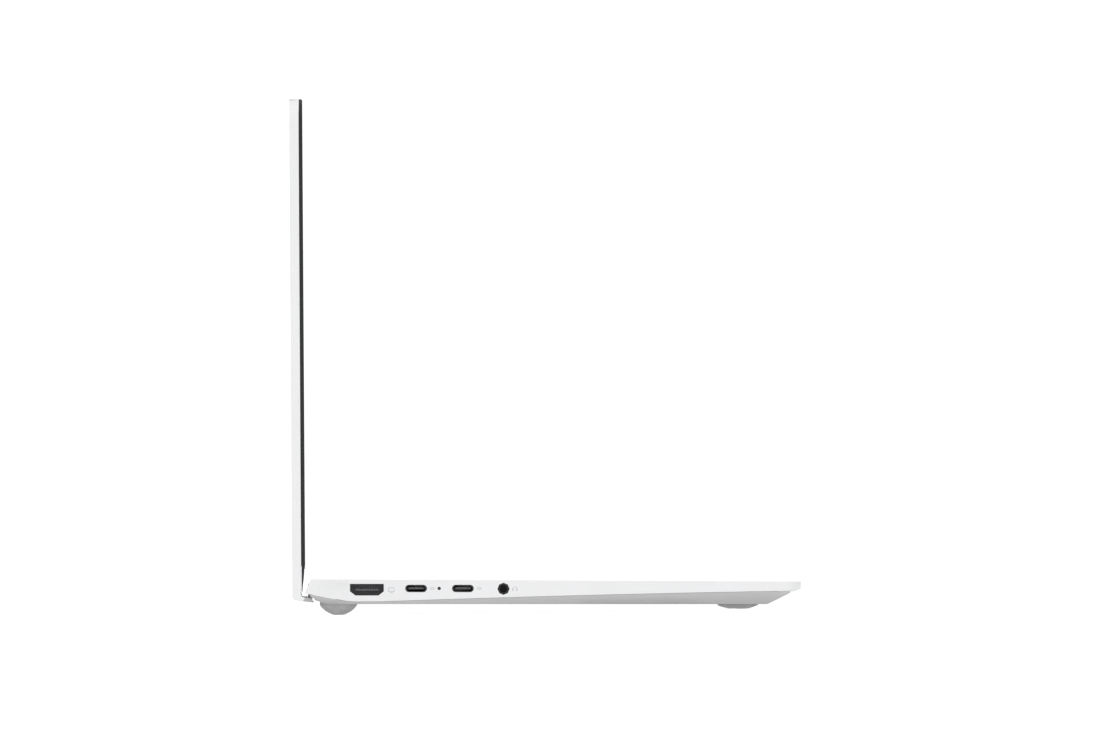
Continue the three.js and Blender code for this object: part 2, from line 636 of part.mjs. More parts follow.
function heatSink() {
  const fins = Array.from({ length: 16 }, (_, index) => {
    const left = 46 + index * 3;
    return box([left, left + 0.8], [-21.5, -12.5], [1.6, 3.3]);
  });
  return union([box([46, 91.8], [-21.5, -12.5], [2.7, 3.3]), ...fins]);
}

function batteryPack() {
  const cells = [-95, -31.5, 32].map((left) => box([left, left + 63], [-181, -113], [1.5, 5]));
  const spine = box([-95, 95], [-116, -110], [1.5, 4.4]);
  return union([...cells, spine]);
}

function storageDrive() {
  const board = box([40, 110], [-106, -84], [2, 2.8]);
  const chips = [46, 70].map((left) => box([left, left + 18], [-102, -88], [2.7, 4]));
  return union([board, ...chips]);
}

function wirelessCard() {
  const board = box([-66, -36], [-106, -84], [2, 2.8]);
  return board.add(box([-62, -48], [-103, -88], [2.7, 4]));
}

function ioBoard() {
  const board = box([118, 142.5], [-88, -22], [2, 2.8]);
  return board.add(box([122, 134], [-84, -76], [2.7, 4.2]));
}

function speaker(side) {
  const shell = box(sideRange(side, 100, 139), [-178, -140], [1.6, 5.6]);
  const horn = box(sideRange(side, 104, 134), [-174, -163], [1, 3.2]);
  return shell.subtract(horn);
}

// A port body behind the wall: its mouth is open to the side, and a tongue may stand inside
function receptacle(side, bodyShape, mouthShape, tongue = null) {
  const back = PORT_FACE - PORT_DEPTH;
  const body = across(bodyShape, ...sideRange(side, back, PORT_FACE));
  const mouth = across(mouthShape, ...sideRange(side, back + 1.5, PORT_FACE + 1));
  const shell = body.subtract(mouth);
  return tongue ? shell.add(box(sideRange(side, back + 1, PORT_FACE - 1.2), ...tongue)) : shell;
}

function usbC(y) {
  return receptacle(-1, stadium(y, USB_C.z, 9, 3.3), stadium(y, USB_C.z, 8.3, 2.6),
    [[y - 3.3, y + 3.3], [USB_C.z - 0.35, USB_C.z + 0.35]]);
}

function usbA(y) {
  const body = roundedRectangle(y, USB_A.z, USB_A.width + 0.4, USB_A.height + 0.6, 0.4);
  const mouth = roundedRectangle(y, USB_A.z, USB_A.width - 0.6, USB_A.height - 0.4, 0.3);
  return receptacle(1, body, mouth, [[y - 5.6, y + 5.6], [USB_A.z + 0.3, USB_A.z + 2]]);
}

function portPieces() {
  piece(base, 'video_receptacle', receptacle(-1, polygon(VIDEO_BODY), polygon(VIDEO_MOUTH),
    VIDEO_TONGUE), STEEL);
  piece(base, 'usb_c_receptacle_rear', usbC(USB_C.rear), STEEL);
  piece(base, 'usb_c_receptacle_front', usbC(USB_C.front), STEEL);
  piece(base, 'headphone_jack', receptacle(-1, roundedRectangle(JACK.y, JACK.z, 6.4, 5, 1),
    circle(JACK.y, JACK.z, JACK.bore)), BLACK);
  piece(base, 'charge_light_guide', rod(LIGHT.radius, -HALF + 0.1, -HALF + 7, LIGHT.y, LIGHT.z, 12),
    LIGHT_GUIDE);
  piece(base, 'usb_a_receptacle_rear', usbA(USB_A.rear), STEEL);
  piece(base, 'usb_a_receptacle_front', usbA(USB_A.front), STEEL);
  piece(base, 'card_slot', receptacle(1, roundedRectangle(CARD_SLOT.y, CARD_SLOT.z, 13.6, 2.6, 0.3),
    roundedRectangle(CARD_SLOT.y, CARD_SLOT.z, 11.6, 1, 0.2)), STEEL);
}

// ---------------------------------------------------------------- hinges
// The arm in the lid's frame: barrel, link down to the hook, sole along it, riser and screwed leaf
function hingeArm(side) {
  const span = armSpan(side, 0);
  const barrel = rod(BARREL_RADIUS, ...span, 0, 0);
  const link = box(span, [ARM.front, ARM.link], [ARM.sole, 0]);
  const sole = box(span, [ARM.front, ARM.rear], [ARM.sole, ARM.heel]);
  const riser = box(span, [ARM.plate, ARM.rear], [ARM.sole, LEAF.low + 1]);
  const leaf = box(sideRange(side, HINGE_X + LEAF.inner, HINGE_X + LEAF.outer), [LEAF.front, ARM.rear],
    [LEAF.low, ARM.leaf]);
  const holes = [-21, -11, 9].map((x) => {
    const geometry = new THREE.CylinderGeometry(1.1, 1.1, 6, 12);
    return solid(geometry.translate(side * (HINGE_X + x), 6.5, 5.6));
  });
  const bore = rod(BORE_RADIUS, span[0] - 1, span[1] + 1, 0, 0);
  return without(union([barrel, link, sole, riser, leaf]), [bore, ...holes]);
}

function hingeBracket(side) {
  const span = sideRange(side, HINGE_X + BARREL_SPLIT[1], HINGE_X + BARREL_OUTER);
  const barrel = rod(BARREL_RADIUS, ...span, HINGE_Y, HINGE_Z);
  const bar = box(span, [-16, HINGE_Y - 2], [HINGE_Z - 0.8, HINGE_Z + 1.2]);
  const plate = box(sideRange(side, HINGE_X - 4, HINGE_X + 17), [-20.8, -10], [6.9, 8.45]);
  const holes = [0, 13].map((x) => post(1.1, side * (HINGE_X + x), -15.5, 6, 9.5, 12));
  return without(union([barrel, bar, plate]),
    [rod(BORE_RADIUS, span[0] - 1, span[1] + 1, HINGE_Y, HINGE_Z), ...holes]);
}

// A pin with a flange at each end, turned about the hinge axis
function hingePin(side) {
  const [start, end] = [BARREL_INNER - GAP - 0.4, BARREL_OUTER + GAP + 0.4];
  const flange = 0.4;
  const profile = [[0, start], [FLANGE_RADIUS, start], [FLANGE_RADIUS, start + flange],
    [PIN_RADIUS, start + flange], [PIN_RADIUS, end - flange], [FLANGE_RADIUS, end - flange],
    [FLANGE_RADIUS, end], [0, end]];
  const geometry = new THREE.LatheGeometry(profile.map(([r, along]) => new THREE.Vector2(r, along)), 20);
  geometry.rotateZ(-side * Math.PI / 2);
  return solid(geometry.translate(side * HINGE_X, HINGE_Y, HINGE_Z));
}

// ---------------------------------------------------------------- lid
const PANEL = { half: 152.25, low: 9.3, high: 202.6, front: 4.45, back: 6.65 };
const ACTIVE = { half: 150.75, low: 12.4, high: 200.9 };
const SHELL_CAVITY = { low: 0.2, high: 206.5, radius: 7 };
const REBATE = 4.15;
const CHIN_TIP = -2; // the bezel's lower edge runs down behind the nose and tapers to here
const CAMERA_Z = 204.9;
const lidPlan = planShape(HALF, LID_TOP, CORNER_RADIUS);

function shellOutline() {
  const shape = new THREE.Shape();
  shape.moveTo(SHELL_FRONT, LID_TOP);
  shape.lineTo(LID_BACK - EDGE_ROUND, LID_TOP);
  shape.quadraticCurveTo(LID_BACK, LID_TOP, LID_BACK, LID_TOP - EDGE_ROUND);
  shape.lineTo(LID_BACK, -4);
  shape.quadraticCurveTo(LID_BACK, -5.3, 8, -5.5);
  shape.lineTo(0.5, -6.6);
  shape.quadraticCurveTo(-0.25, -6.65, -0.15, -6.1);
  shape.lineTo(0.8, -4.95);
  shape.lineTo(2.7, -4.25);
  shape.quadraticCurveTo(5.3, -5.1, 5.75, -2.3);
  shape.lineTo(SHELL_FRONT + 0.1, -1.2);
  return shape;
}

function lidShell() {
  const form = across(shellOutline(), -HALF, HALF).intersect(through(lidPlan, -10, 20));
  const half = PANEL.half + 1;
  const cavity = box([-half, half], [0, SHELL_FLOOR], [SHELL_CAVITY.low, SHELL_CAVITY.high])
    .intersect(through(planShape(half, SHELL_CAVITY.high, SHELL_CAVITY.radius), -1, 20));
  const armSlots = [-1, 1].map((side) => box(armSpan(side, GAP), [-1, ARM.rear + GAP],
    [ARM.sole - GAP, SHELL_CAVITY.low + 0.5]));
  const hookEnd = ringSector(0, 0, 0.1, 14, HOOK_SIDE_END, HOOK_SIDE_END - 70);
  const ends = [-1, 1].map((side) => across(hookEnd, ...sideRange(side, HALF - CHEEK - 0.5, HALF + 1)));
  return without(form, [cavity, ...armSlots, ...ends]);
}

function bezelOutline() {
  const shape = new THREE.Shape();
  shape.moveTo(BEZEL_BACK, LID_TOP);
  shape.lineTo(LID_FACE + 0.5, LID_TOP);
  shape.quadraticCurveTo(LID_FACE, LID_TOP, LID_FACE, LID_TOP - 0.8);
  shape.lineTo(LID_FACE, 13);
  shape.quadraticCurveTo(LID_FACE + 0.05, 6, LID_FACE + 0.95, 0.2);
  shape.lineTo(BEZEL_BACK - 0.05, CHIN_TIP);
  shape.lineTo(BEZEL_BACK + 0.25, CHIN_TIP);
  shape.lineTo(BEZEL_BACK + 0.25, -1.4);
  shape.lineTo(BEZEL_BACK, 0.4);
  return shape;
}

function frameBox({ half, low, high }, front, back) {
  return box([-half, half], [front, back], [low, high]);
}

function displayBezel() {
  const form = across(bezelOutline(), -HALF, HALF).intersect(through(lidPlan, -10, 20));
  const window = frameBox(ACTIVE, 0, 10);
  const rebate = frameBox({ half: PANEL.half + GAP, low: PANEL.low - GAP, high: PANEL.high + GAP },
    REBATE, 10);
  const lens = new THREE.CylinderGeometry(1.5, 1.5, 6, 16).translate(0, 4, CAMERA_Z);
  return without(form, [window, rebate, solid(lens)]);
}

function displayPanel() {
  const sheet = frameBox(PANEL, PANEL.front, PANEL.back);
  const driver = box([-60, 60], [PANEL.back - 0.1, PANEL.back + 0.7], [14, 22]);
  return sheet.add(driver);
}

function cameraModule() {
  const board = box([-22, 22], [5.2, 6.9], [CAMERA_Z - 1.7, CAMERA_Z + 1.3]);
  const lens = new THREE.CylinderGeometry(1.2, 1.2, 1.4, 16).translate(0, 4.7, CAMERA_Z);
  return board.add(solid(lens));
}

function displayCable() {
  return box([-70, -62], [7, 7.4], [30, 70]).add(box([-70, 0], [7, 7.4], [24, 32]));
}

// ---------------------------------------------------------------- feet, drawn on the floor
// A domed foot: a circular arc from the small flat it stands on up to its full radius
function foot({ x, y, radius, drop }, side) {
  const height = drop - FOOT_TOP_GAP;
  const centre = (radius ** 2 + height ** 2 - FOOT_FLAT ** 2) / (2 * height);
  const bow = Math.hypot(FOOT_FLAT, centre);
  const start = Math.atan2(FOOT_FLAT, centre);
  const end = Math.atan2(radius, centre - height);
  const steps = 5;
  const profile = [new THREE.Vector2(0, 0)];
  for (let step = 0; step <= steps; step++) {
    const turn = THREE.MathUtils.lerp(start, end, step / steps);
    profile.push(new THREE.Vector2(bow * Math.sin(turn), centre - bow * Math.cos(turn)));
  }
  profile.push(new THREE.Vector2(0, height));
  const geometry = new THREE.LatheGeometry(profile, 24).rotateX(Math.PI / 2);
  return solid(geometry.translate(side * x, y, 0));
}

// ---------------------------------------------------------------- assembly
piece(base, 'top_case', topCase(), WHITE);
piece(base, 'bottom_cover', bottomCover(), UNDERSIDE);
SCREWS.forEach(([name, x, y]) => piece(base, `cover_screw_${name}`, coverScrew(x, y), STEEL));
KEY_BLOCKS.forEach((block) => piece(deck, block.name, keyBlock(block), KEYCAP));
piece(deck, 'power_button', powerButton(), KEYCAP);
piece(deck, 'keyboard_support', keyboardSupport(), STEEL);
piece(deck, 'touchpad', touchpad(), WHITE);
piece(base, 'fan_housing', fanHousing(), BLACK);
piece(base, 'fan_rotor', fanRotor(), BLACK);
piece(base, 'mainboard', mainboard(), BOARD);
piece(base, 'heat_pipe', heatPipe(), COPPER);
piece(base, 'heat_sink', heatSink(), COPPER);
piece(base, 'battery_pack', batteryPack(), BLACK);
piece(base, 'storage_drive', storageDrive(), BOARD);
piece(base, 'wireless_card', wirelessCard(), BOARD);
piece(base, 'io_board', ioBoard(), BOARD);
portPieces();
piece(lid, 'lid_shell', lidShell(), WHITE);
piece(lid, 'display_bezel', displayBezel(), BLACK);
piece(lid, 'display_panel', displayPanel(), GLASS);
piece(lid, 'camera_module', cameraModule(), BLACK);
piece(lid, 'display_cable', displayCable(), BLACK);
onBothSides((side, name) => {
  piece(base, `speaker_${name}`, speaker(side), BLACK);
  piece(base, `hinge_bracket_${name}`, hingeBracket(side), STEEL);
  piece(base, `hinge_pin_${name}`, hingePin(side), STEEL);
  piece(lid, `hinge_arm_${name}`, hingeArm(side), STEEL);
  piece(laptop, `rear_foot_${name}`, foot(REAR_FOOT, side), RUBBER);
  piece(laptop, `front_foot_${name}`, foot(FRONT_FOOT, side), RUBBER);
});

// The origin is on the floor, under the middle of the whole laptop
laptop.updateMatrixWorld(true);
const bounds = new THREE.Box3().setFromObject(laptop, true);
laptop.position.set(0, -(bounds.min.y + bounds.max.y) / 2, -bounds.min.z);

export default laptop;
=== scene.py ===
"""A slim white laptop computer, open at about a right angle and seen square on from its left side.

Everything is in metres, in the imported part's own frame: +X to the user's right, +Y towards the back
and +Z up. Places come from the frame's nodes and joints. Small sizes are written in millimetres.
"""
import json
import math

import bmesh
import bpy
from mathutils import Matrix, Vector
from mathutils.bvhtree import BVHTree


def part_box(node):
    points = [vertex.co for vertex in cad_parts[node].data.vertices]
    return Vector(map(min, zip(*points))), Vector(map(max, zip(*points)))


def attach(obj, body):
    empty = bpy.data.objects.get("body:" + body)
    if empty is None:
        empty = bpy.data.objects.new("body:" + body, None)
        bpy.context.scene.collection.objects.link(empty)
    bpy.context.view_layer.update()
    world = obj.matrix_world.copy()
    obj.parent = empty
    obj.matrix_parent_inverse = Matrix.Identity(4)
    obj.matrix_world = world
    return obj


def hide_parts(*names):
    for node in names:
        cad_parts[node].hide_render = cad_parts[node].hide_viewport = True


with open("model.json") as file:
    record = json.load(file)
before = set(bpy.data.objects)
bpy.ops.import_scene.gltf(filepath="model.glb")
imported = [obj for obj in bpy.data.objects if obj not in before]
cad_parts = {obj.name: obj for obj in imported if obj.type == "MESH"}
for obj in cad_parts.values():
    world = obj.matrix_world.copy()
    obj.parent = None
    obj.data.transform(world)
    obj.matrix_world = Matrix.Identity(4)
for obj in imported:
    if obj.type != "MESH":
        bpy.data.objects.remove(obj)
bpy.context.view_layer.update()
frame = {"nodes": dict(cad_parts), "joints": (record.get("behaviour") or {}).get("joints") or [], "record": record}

MM = 0.001
BODY_OF = {
    node: body
    for body, nodes in frame["record"]["behaviour"]["bodies"].items()
    for node in nodes
}
SLOT_OF = {part["node"]: part["material_slot"] for part in frame["record"]["subparts"]}
JOINTS = {joint["name"]: joint for joint in frame["joints"]}
LEFT_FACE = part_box("top_case")[0].x
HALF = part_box("top_case")[1].x / MM

# ------------------------------------------------------------------ driving dimensions (mm)
CASE_EDGE = 0.09
LID_EDGE = 0.17
FINE_EDGE = 0.04
METAL_EDGE = 0.06
EDGE_RUN = 12.0  # an edge is rounded only if it is this many times as long as the rounding is wide
CORNER = 10.5  # the small facets of the shells' rounded corners are left as they are this far in
SEAM = 0.08
LID_LEAN = 0.37  # degrees that the lid leans back from square to the base
LID_FACE = 3.75  # the bezel's face, back from the hinge axis in the lid's frame
BEZEL_BACK = 4.9
SHELL_FRONT = 5.2
LID_TOP = 208.7
LID_RADIUS = 10.0
BUMPER = {"width": 1.5, "height": 0.19, "inset": 0.25, "low": 8.0}
# The thin black strip painted as the shadow gap in the hollow of the lid's hook: its thickness and its half-span.
HOOK_SHADOW_DEPTH = 0.25
HOOK_SHADOW_SPAN = HALF - 0.3
HOOK_MIDDLE = HALF - 24.5  # outside this the hook ends early, beside the cover's cheeks
HOOK_SIDE_END = -50.0  # degrees round the hinge axis where the painted shadow strip ends there
FOOT_WALL = 1.45  # the feet run up this far past their domes, into the cover
CAP_RADIUS = 1.7
CAP_DRAFT = 0.4
CAP_ROUND = 0.3
CAP_SKIRT = 2.0
CAP_DISH = 0.12
CAP_FLAT = 2.1  # the hollow is flat from this far inside the cap's edge
PRINT_LIFT = 0.02
LETTER_SIZE = 3.0
WORD_SIZE = 1.9

# ------------------------------------------------------------------ frames worked out from the joints
HINGE = Vector(JOINTS["lid_hinge"]["pos_m"])
DECK_NORMAL = -Vector(JOINTS["space_bar_press"]["axis"])
DECK_TURN = Matrix.Rotation(math.atan2(-DECK_NORMAL.y, DECK_NORMAL.z), 4, "X")
BASE_NORMAL = Vector(JOINTS["fan_spin"]["axis"])
BASE_TURN = Matrix.Rotation(math.atan2(-BASE_NORMAL.y, BASE_NORMAL.z), 4, "X")
LID_TURN = Matrix.Translation(HINGE) @ BASE_TURN @ Matrix.Rotation(-math.radians(LID_LEAN), 4, "X")


def middle(node):
    low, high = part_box(node)
    return (low + high) / 2


# ------------------------------------------------------------------ materials
class Finish:
    """A Principled material whose colour, roughness and relief come from noise in object space."""

    def __init__(self, name, roughness, metallic=0.0):
        self.material = bpy.data.materials.new(name)
        self.material.use_nodes = True
        self.tree = self.material.node_tree
        self.tree.nodes.clear()
        self.shader = self.add("ShaderNodeBsdfPrincipled")
        output = self.add("ShaderNodeOutputMaterial")
        self.link(self.shader.outputs["BSDF"], output.inputs["Surface"])
        self.coordinates = self.add("ShaderNodeTexCoord").outputs["Object"]
        self.set("Roughness", roughness)
        self.set("Metallic", metallic)

    def add(self, kind):
        return self.tree.nodes.new(kind)

    def link(self, source, target):
        self.tree.links.new(source, target)

    def set(self, socket, value):
        self.shader.inputs[socket].default_value = value
        return self

    def stretched(self, scale):
        mapping = self.add("ShaderNodeMapping")
        mapping.inputs["Scale"].default_value = scale
        self.link(self.coordinates, mapping.inputs["Vector"])
        return mapping.outputs["Vector"]

    def noise(self, size_mm, detail=3.0, stretch=(1.0, 1.0, 1.0)):
        """Noise whose features are about size_mm across."""
        texture = self.add("ShaderNodeTexNoise")
        texture.inputs["Scale"].default_value = 1.0 / (size_mm * MM)
        texture.inputs["Detail"].default_value = detail
        self.link(self.stretched(stretch), texture.inputs["Vector"])
        return texture.outputs["Fac"]

    def spread(self, source, low, high):
        ranged = self.add("ShaderNodeMapRange")
        ranged.inputs["From Min"].default_value = 0.3
        ranged.inputs["From Max"].default_value = 0.7
        ranged.inputs["To Min"].default_value = low
        ranged.inputs["To Max"].default_value = high
        self.link(source, ranged.inputs["Value"])
        return ranged.outputs["Result"]

    def tint(self, dark, light, source):
        mix = self.add("ShaderNodeMix")
        mix.data_type = "RGBA"
        mix.inputs[6].default_value = (*dark, 1.0)
        mix.inputs[7].default_value = (*light, 1.0)
        self.link(self.spread(source, 0.0, 1.0), mix.inputs[0])
        self.link(mix.outputs[2], self.shader.inputs["Base Color"])
        return self

    def polish(self, low, high, source):
        self.link(self.spread(source, low, high), self.shader.inputs["Roughness"])
        return self

    def relief(self, source, height_mm, strength=1.0):
        bump = self.add("ShaderNodeBump")
        bump.inputs["Distance"].default_value = height_mm * MM
        bump.inputs["Strength"].default_value = strength
        self.link(source, bump.inputs["Height"])
        self.link(bump.outputs["Normal"], self.shader.inputs["Normal"])
        return self


def shades(color, variation):
    dark = tuple(channel * (1.0 - variation) for channel in color)
    light = tuple(min(1.0, channel * (1.0 + variation)) for channel in color)
    return dark, light


def coated_metal(name, color, roughness=0.42):
    """Fine satin coat over light alloy: a faint orange peel and slight clouding of the gloss."""
    finish = Finish(name, roughness)
    finish.tint(*shades(color, 0.012), finish.noise(22.0))
    finish.polish(roughness - 0.05, roughness + 0.06, finish.noise(9.0))
    finish.relief(finish.noise(0.35, 4.0), 0.006, 0.5)
    finish.set("Coat Weight", 0.12).set("Coat Roughness", 0.25)
    return finish.material


def moulded_plastic(name, color, roughness, grain_mm=0.25, height_mm=0.006, variation=0.05, shine=0.5):
    finish = Finish(name, roughness)
    finish.set("Specular IOR Level", shine)
    finish.tint(*shades(color, variation), finish.noise(6.0))
    finish.polish(roughness - 0.06, roughness + 0.06, finish.noise(3.0))
    finish.relief(finish.noise(grain_mm, 4.0), height_mm, 0.6)
    return finish.material


def rubber(name, color):
    finish = Finish(name, 0.8)
    finish.tint(*shades(color, 0.08), finish.noise(2.5))
    finish.polish(0.7, 0.9, finish.noise(1.2))
    finish.relief(finish.noise(0.18, 5.0), 0.03, 0.8)
    return finish.material


def brushed(name, color, roughness=0.34, stretch=(1.0, 14.0, 14.0)):
    finish = Finish(name, roughness, 1.0)
    finish.tint(*shades(color, 0.08), finish.noise(4.0, 3.0, stretch))
    finish.polish(roughness - 0.08, roughness + 0.1, finish.noise(2.0, 3.0, stretch))
    finish.relief(finish.noise(0.8, 4.0, stretch), 0.008, 0.6)
    return finish.material


def circuit_board(name):
    """Green solder mask with a faint maze of tracks under it."""
    finish = Finish(name, 0.45)
    tracks = finish.add("ShaderNodeTexBrick")
    tracks.inputs["Color1"].default_value = (0.012, 0.075, 0.035, 1.0)
    tracks.inputs["Color2"].default_value = (0.016, 0.092, 0.042, 1.0)
    tracks.inputs["Mortar"].default_value = (0.03, 0.15, 0.07, 1.0)
    tracks.inputs["Scale"].default_value = 400.0
    tracks.inputs["Mortar Size"].default_value = 0.03
    finish.link(finish.coordinates, tracks.inputs["Vector"])
    finish.link(tracks.outputs["Color"], finish.shader.inputs["Base Color"])
    finish.relief(tracks.outputs["Fac"], 0.02, 0.4)
    finish.polish(0.38, 0.52, finish.noise(3.0))
    return finish.material


def display_glass(name):
    """An anti-glare panel that is switched off: almost black, with a soft broken reflection."""
    finish = Finish(name, 0.3)
    finish.tint((0.005, 0.0055, 0.0068), (0.0078, 0.0083, 0.01), finish.noise(60.0))
    finish.polish(0.27, 0.33, finish.noise(12.0))
    finish.relief(finish.noise(1.2, 2.0), 0.0002, 0.2)
    finish.set("Specular IOR Level", 0.4)
    return finish.material


def matte_glass(name, color):
    finish = Finish(name, 0.4)
    finish.tint(*shades(color, 0.008), finish.noise(18.0))
    finish.polish(0.34, 0.44, finish.noise(7.0))
    finish.relief(finish.noise(0.2, 3.0), 0.003, 0.4)
    return finish.material


def printed_ink(name, color):
    finish = Finish(name, 0.6)
    finish.tint(*shades(color, 0.1), finish.noise(0.6))
    return finish.material


WHITE = (0.7, 0.702, 0.709)
MATERIALS = {
    "white_shell": coated_metal("white_shell", WHITE),
    # Painted shade: the cover is the same white as the shell, and this darker grey stands in for the shade that
    # falls on the base's underside.
    "underside": coated_metal("underside", (0.45, 0.45, 0.455), 0.5),
    "keycap": moulded_plastic("keycap", (0.7, 0.703, 0.71), 0.55, 0.22, 0.006, 0.01),
    "touchpad_surface": matte_glass("touchpad_surface", (0.7, 0.703, 0.71)),
    "bezel": moulded_plastic("bezel", (0.012, 0.012, 0.013), 0.5, 0.4, 0.001, shine=0.3),
    "display": display_glass("display"),
    "dark_plastic": moulded_plastic("dark_plastic", (0.014, 0.014, 0.015), 0.5),
    "battery_wrap": moulded_plastic("battery_wrap", (0.03, 0.03, 0.034), 0.45, 1.5, 0.03),
    "circuit_board": circuit_board("circuit_board"),
    "copper": brushed("copper", (0.74, 0.38, 0.2), 0.3),
    "steel": brushed("steel", (0.6, 0.61, 0.63)),
    "light_guide": moulded_plastic("light_guide", (0.05, 0.05, 0.05), 0.3, 0.4, 0.004),
    # Partly painted shade: the feet are light grey rubber, and this darker grey also stands in for the shade they
    # sit in under the base.
    "foot_rubber": rubber("foot_rubber", (0.36, 0.36, 0.365)),
}
SOCKET_BLACK = moulded_plastic("socket_black", (0.012, 0.012, 0.013), 0.4, 0.3, 0.006)
SOCKET_METAL = brushed("socket_metal", (0.1, 0.1, 0.105), 0.4)
CONTACT = brushed("contact", (0.72, 0.7, 0.66), 0.3)
INK_GREY = printed_ink("ink_grey", (0.34, 0.34, 0.35))
INK_DARK = printed_ink("ink_dark", (0.16, 0.16, 0.17))
BUMPER_RUBBER = rubber("bumper_rubber", (0.012, 0.012, 0.013))
LENS_GLASS = moulded_plastic("lens_glass", (0.004, 0.004, 0.008), 0.08, 2.0, 0.0005)


# ------------------------------------------------------------------ mesh helpers
def piece(name, build, material, body, turn=None, smooth=30.0):
    """Makes an object from a function that fills a bmesh, in millimetres, and rides it on a body."""
    mesh = bpy.data.meshes.new(name)
    shape = bmesh.new()
    build(shape)
    bmesh.ops.recalc_face_normals(shape, faces=shape.faces)
    shape.to_mesh(mesh)
    shape.free()
    mesh.transform(Matrix.Scale(MM, 4))
    if turn is not None:
        mesh.transform(turn)
    mesh.materials.append(material)
    mesh.shade_smooth()
    mesh.set_sharp_from_angle(angle=math.radians(smooth))
    made = bpy.data.objects.new(name, mesh)
    bpy.context.scene.collection.objects.link(made)
    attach(made, body)
    return made


def apply_modifiers(made):
    """Replaces the object's mesh by its evaluated one, so that no modifier is left."""
    evaluated = made.evaluated_get(bpy.context.evaluated_depsgraph_get())
    mesh = bpy.data.meshes.new_from_object(evaluated)
    made.modifiers.clear()
    made.data = mesh


def at_corner(edge, end):
    """Whether an edge lies at a shell's rounded corners: end is an axis, a limit and a direction."""
    place = (edge.verts[0].co + edge.verts[1].co) / 2
    axis, limit, direction = end
    return abs(place.x) > (HALF - CORNER) * MM and (place[axis] - limit) * direction > -CORNER * MM


def soften_edges(shape, width, end=None):
    """Rounds the outward edges that are long enough to take it, except at the rounded corners."""
    edges = [
        edge for edge in shape.edges
        if len(edge.link_faces) == 2
        and edge.is_convex
        and edge.calc_length() > EDGE_RUN * width * MM
        and edge.calc_face_angle() > math.radians(32.0)
        and not (end and at_corner(edge, end))
    ]
    bmesh.ops.bevel(shape, geom=edges, offset=width * MM, offset_type="ABSOLUTE", segments=2,
                    profile=0.5, affect="EDGES", clamp_overlap=False)


def refined(node, edge, material=None, reshape=None, end=None):
    """A copy of a CAD node with its edges rounded, which is shown in the node's place."""
    mesh = frame["nodes"][node].data.copy()
    shape = bmesh.new()
    shape.from_mesh(mesh)
    bmesh.ops.remove_doubles(shape, verts=shape.verts, dist=1e-6)
    bmesh.ops.dissolve_limit(shape, angle_limit=math.radians(0.1), verts=shape.verts, edges=shape.edges)
    if reshape:
        reshape(shape)
    soften_edges(shape, edge, end)
    shape.to_mesh(mesh)
    shape.free()
    mesh.materials.clear()
    mesh.materials.append(material or MATERIALS[SLOT_OF[node]])
    mesh.shade_smooth()
    mesh.set_sharp_from_angle(angle=math.radians(38.0))
    made = bpy.data.objects.new(node + "_finish", mesh)
    bpy.context.scene.collection.objects.link(made)
    normals = made.modifiers.new("normals", "WEIGHTED_NORMAL")
    normals.mode = "FACE_AREA"
    normals.weight = 80
    normals.keep_sharp = True
    apply_modifiers(made)
    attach(made, BODY_OF[node])
    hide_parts(node)
    return made


def rounded_ring(shape, half_width, half_depth, radius, z, centre=(0.0, 0.0), steps=4):
    """Vertices round a rounded rectangle at height z, counter-clockwise from the right."""
    ring = []
    radius = min(radius, half_width, half_depth)
    for corner in range(4):
        turn = corner * math.pi / 2
        sign_x = 1 if corner in (0, 3) else -1
        sign_y = 1 if corner in (0, 1) else -1
        for step in range(steps + 1):
            angle = turn + step / steps * math.pi / 2
            x = centre[0] + sign_x * (half_width - radius) + radius * math.cos(angle)
            y = centre[1] + sign_y * (half_depth - radius) + radius * math.sin(angle)
            ring.append(shape.verts.new((x, y, z)))
    return ring


def bridge(shape, lower, upper):
    count = len(lower)
    for index in range(count):
        following = (index + 1) % count
        shape.faces.new((lower[index], lower[following], upper[following], upper[index]))


def block(shape, low, high):
    """An axis-aligned box between two corners."""
    corners = [(x, y, z) for x in (low[0], high[0]) for y in (low[1], high[1]) for z in (low[2], high[2])]
    verts = [shape.verts.new(corner) for corner in corners]
    for loop in ((0, 1, 3, 2), (4, 6, 7, 5), (0, 4, 5, 1), (2, 3, 7, 6), (0, 2, 6, 4), (1, 5, 7, 3)):
        shape.faces.new([verts[index] for index in loop])


def flat_ring(shape, outer, inner, z0, z1, centre, sides=32, start=0.0, sweep=2 * math.pi):
    """A flat ring, or part of one, as a closed solid in the XY plane."""
    closed = abs(sweep - 2 * math.pi) < 1e-6
    count = sides if closed else sides + 1
    rows = []
    for index in range(count):
        angle = start + sweep * index / sides
        cos, sin = math.cos(angle), math.sin(angle)
        rows.append([
            shape.verts.new((centre[0] + radius * cos, centre[1] + radius * sin, z))
            for radius, z in ((outer, z0), (outer, z1), (inner, z1), (inner, z0))
        ])
    pairs = list(zip(rows, rows[1:]))
    if closed:
        pairs.append((rows[-1], rows[0]))
    for here, there in pairs:
        for side in range(4):
            after = (side + 1) % 4
            shape.faces.new((here[side], here[after], there[after], there[side]))
    if not closed:
        shape.faces.new(rows[0])
        shape.faces.new(list(reversed(rows[-1])))


# ------------------------------------------------------------------ shells
def close_seam(shape):
    """Raises the cover's rim until only a hairline is left below the top case."""
    above = frame["nodes"]["top_case"].data
    tree = BVHTree.FromPolygons([vertex.co for vertex in above.vertices],
                                [polygon.vertices for polygon in above.polygons])
    rim = {vert for face in shape.faces if face.normal.dot(BASE_NORMAL) > 0.9 for vert in face.verts}
    for vert in rim:
        inward = Vector((-math.copysign(0.4, vert.co.x), -0.3 if vert.co.y > 0 else 0.3, 0)) * MM
        _, _, _, distance = tree.ray_cast(vert.co + inward, BASE_NORMAL, 0.6 * MM)
        if distance and distance > SEAM * MM:
            vert.co += BASE_NORMAL * (distance - SEAM * MM)


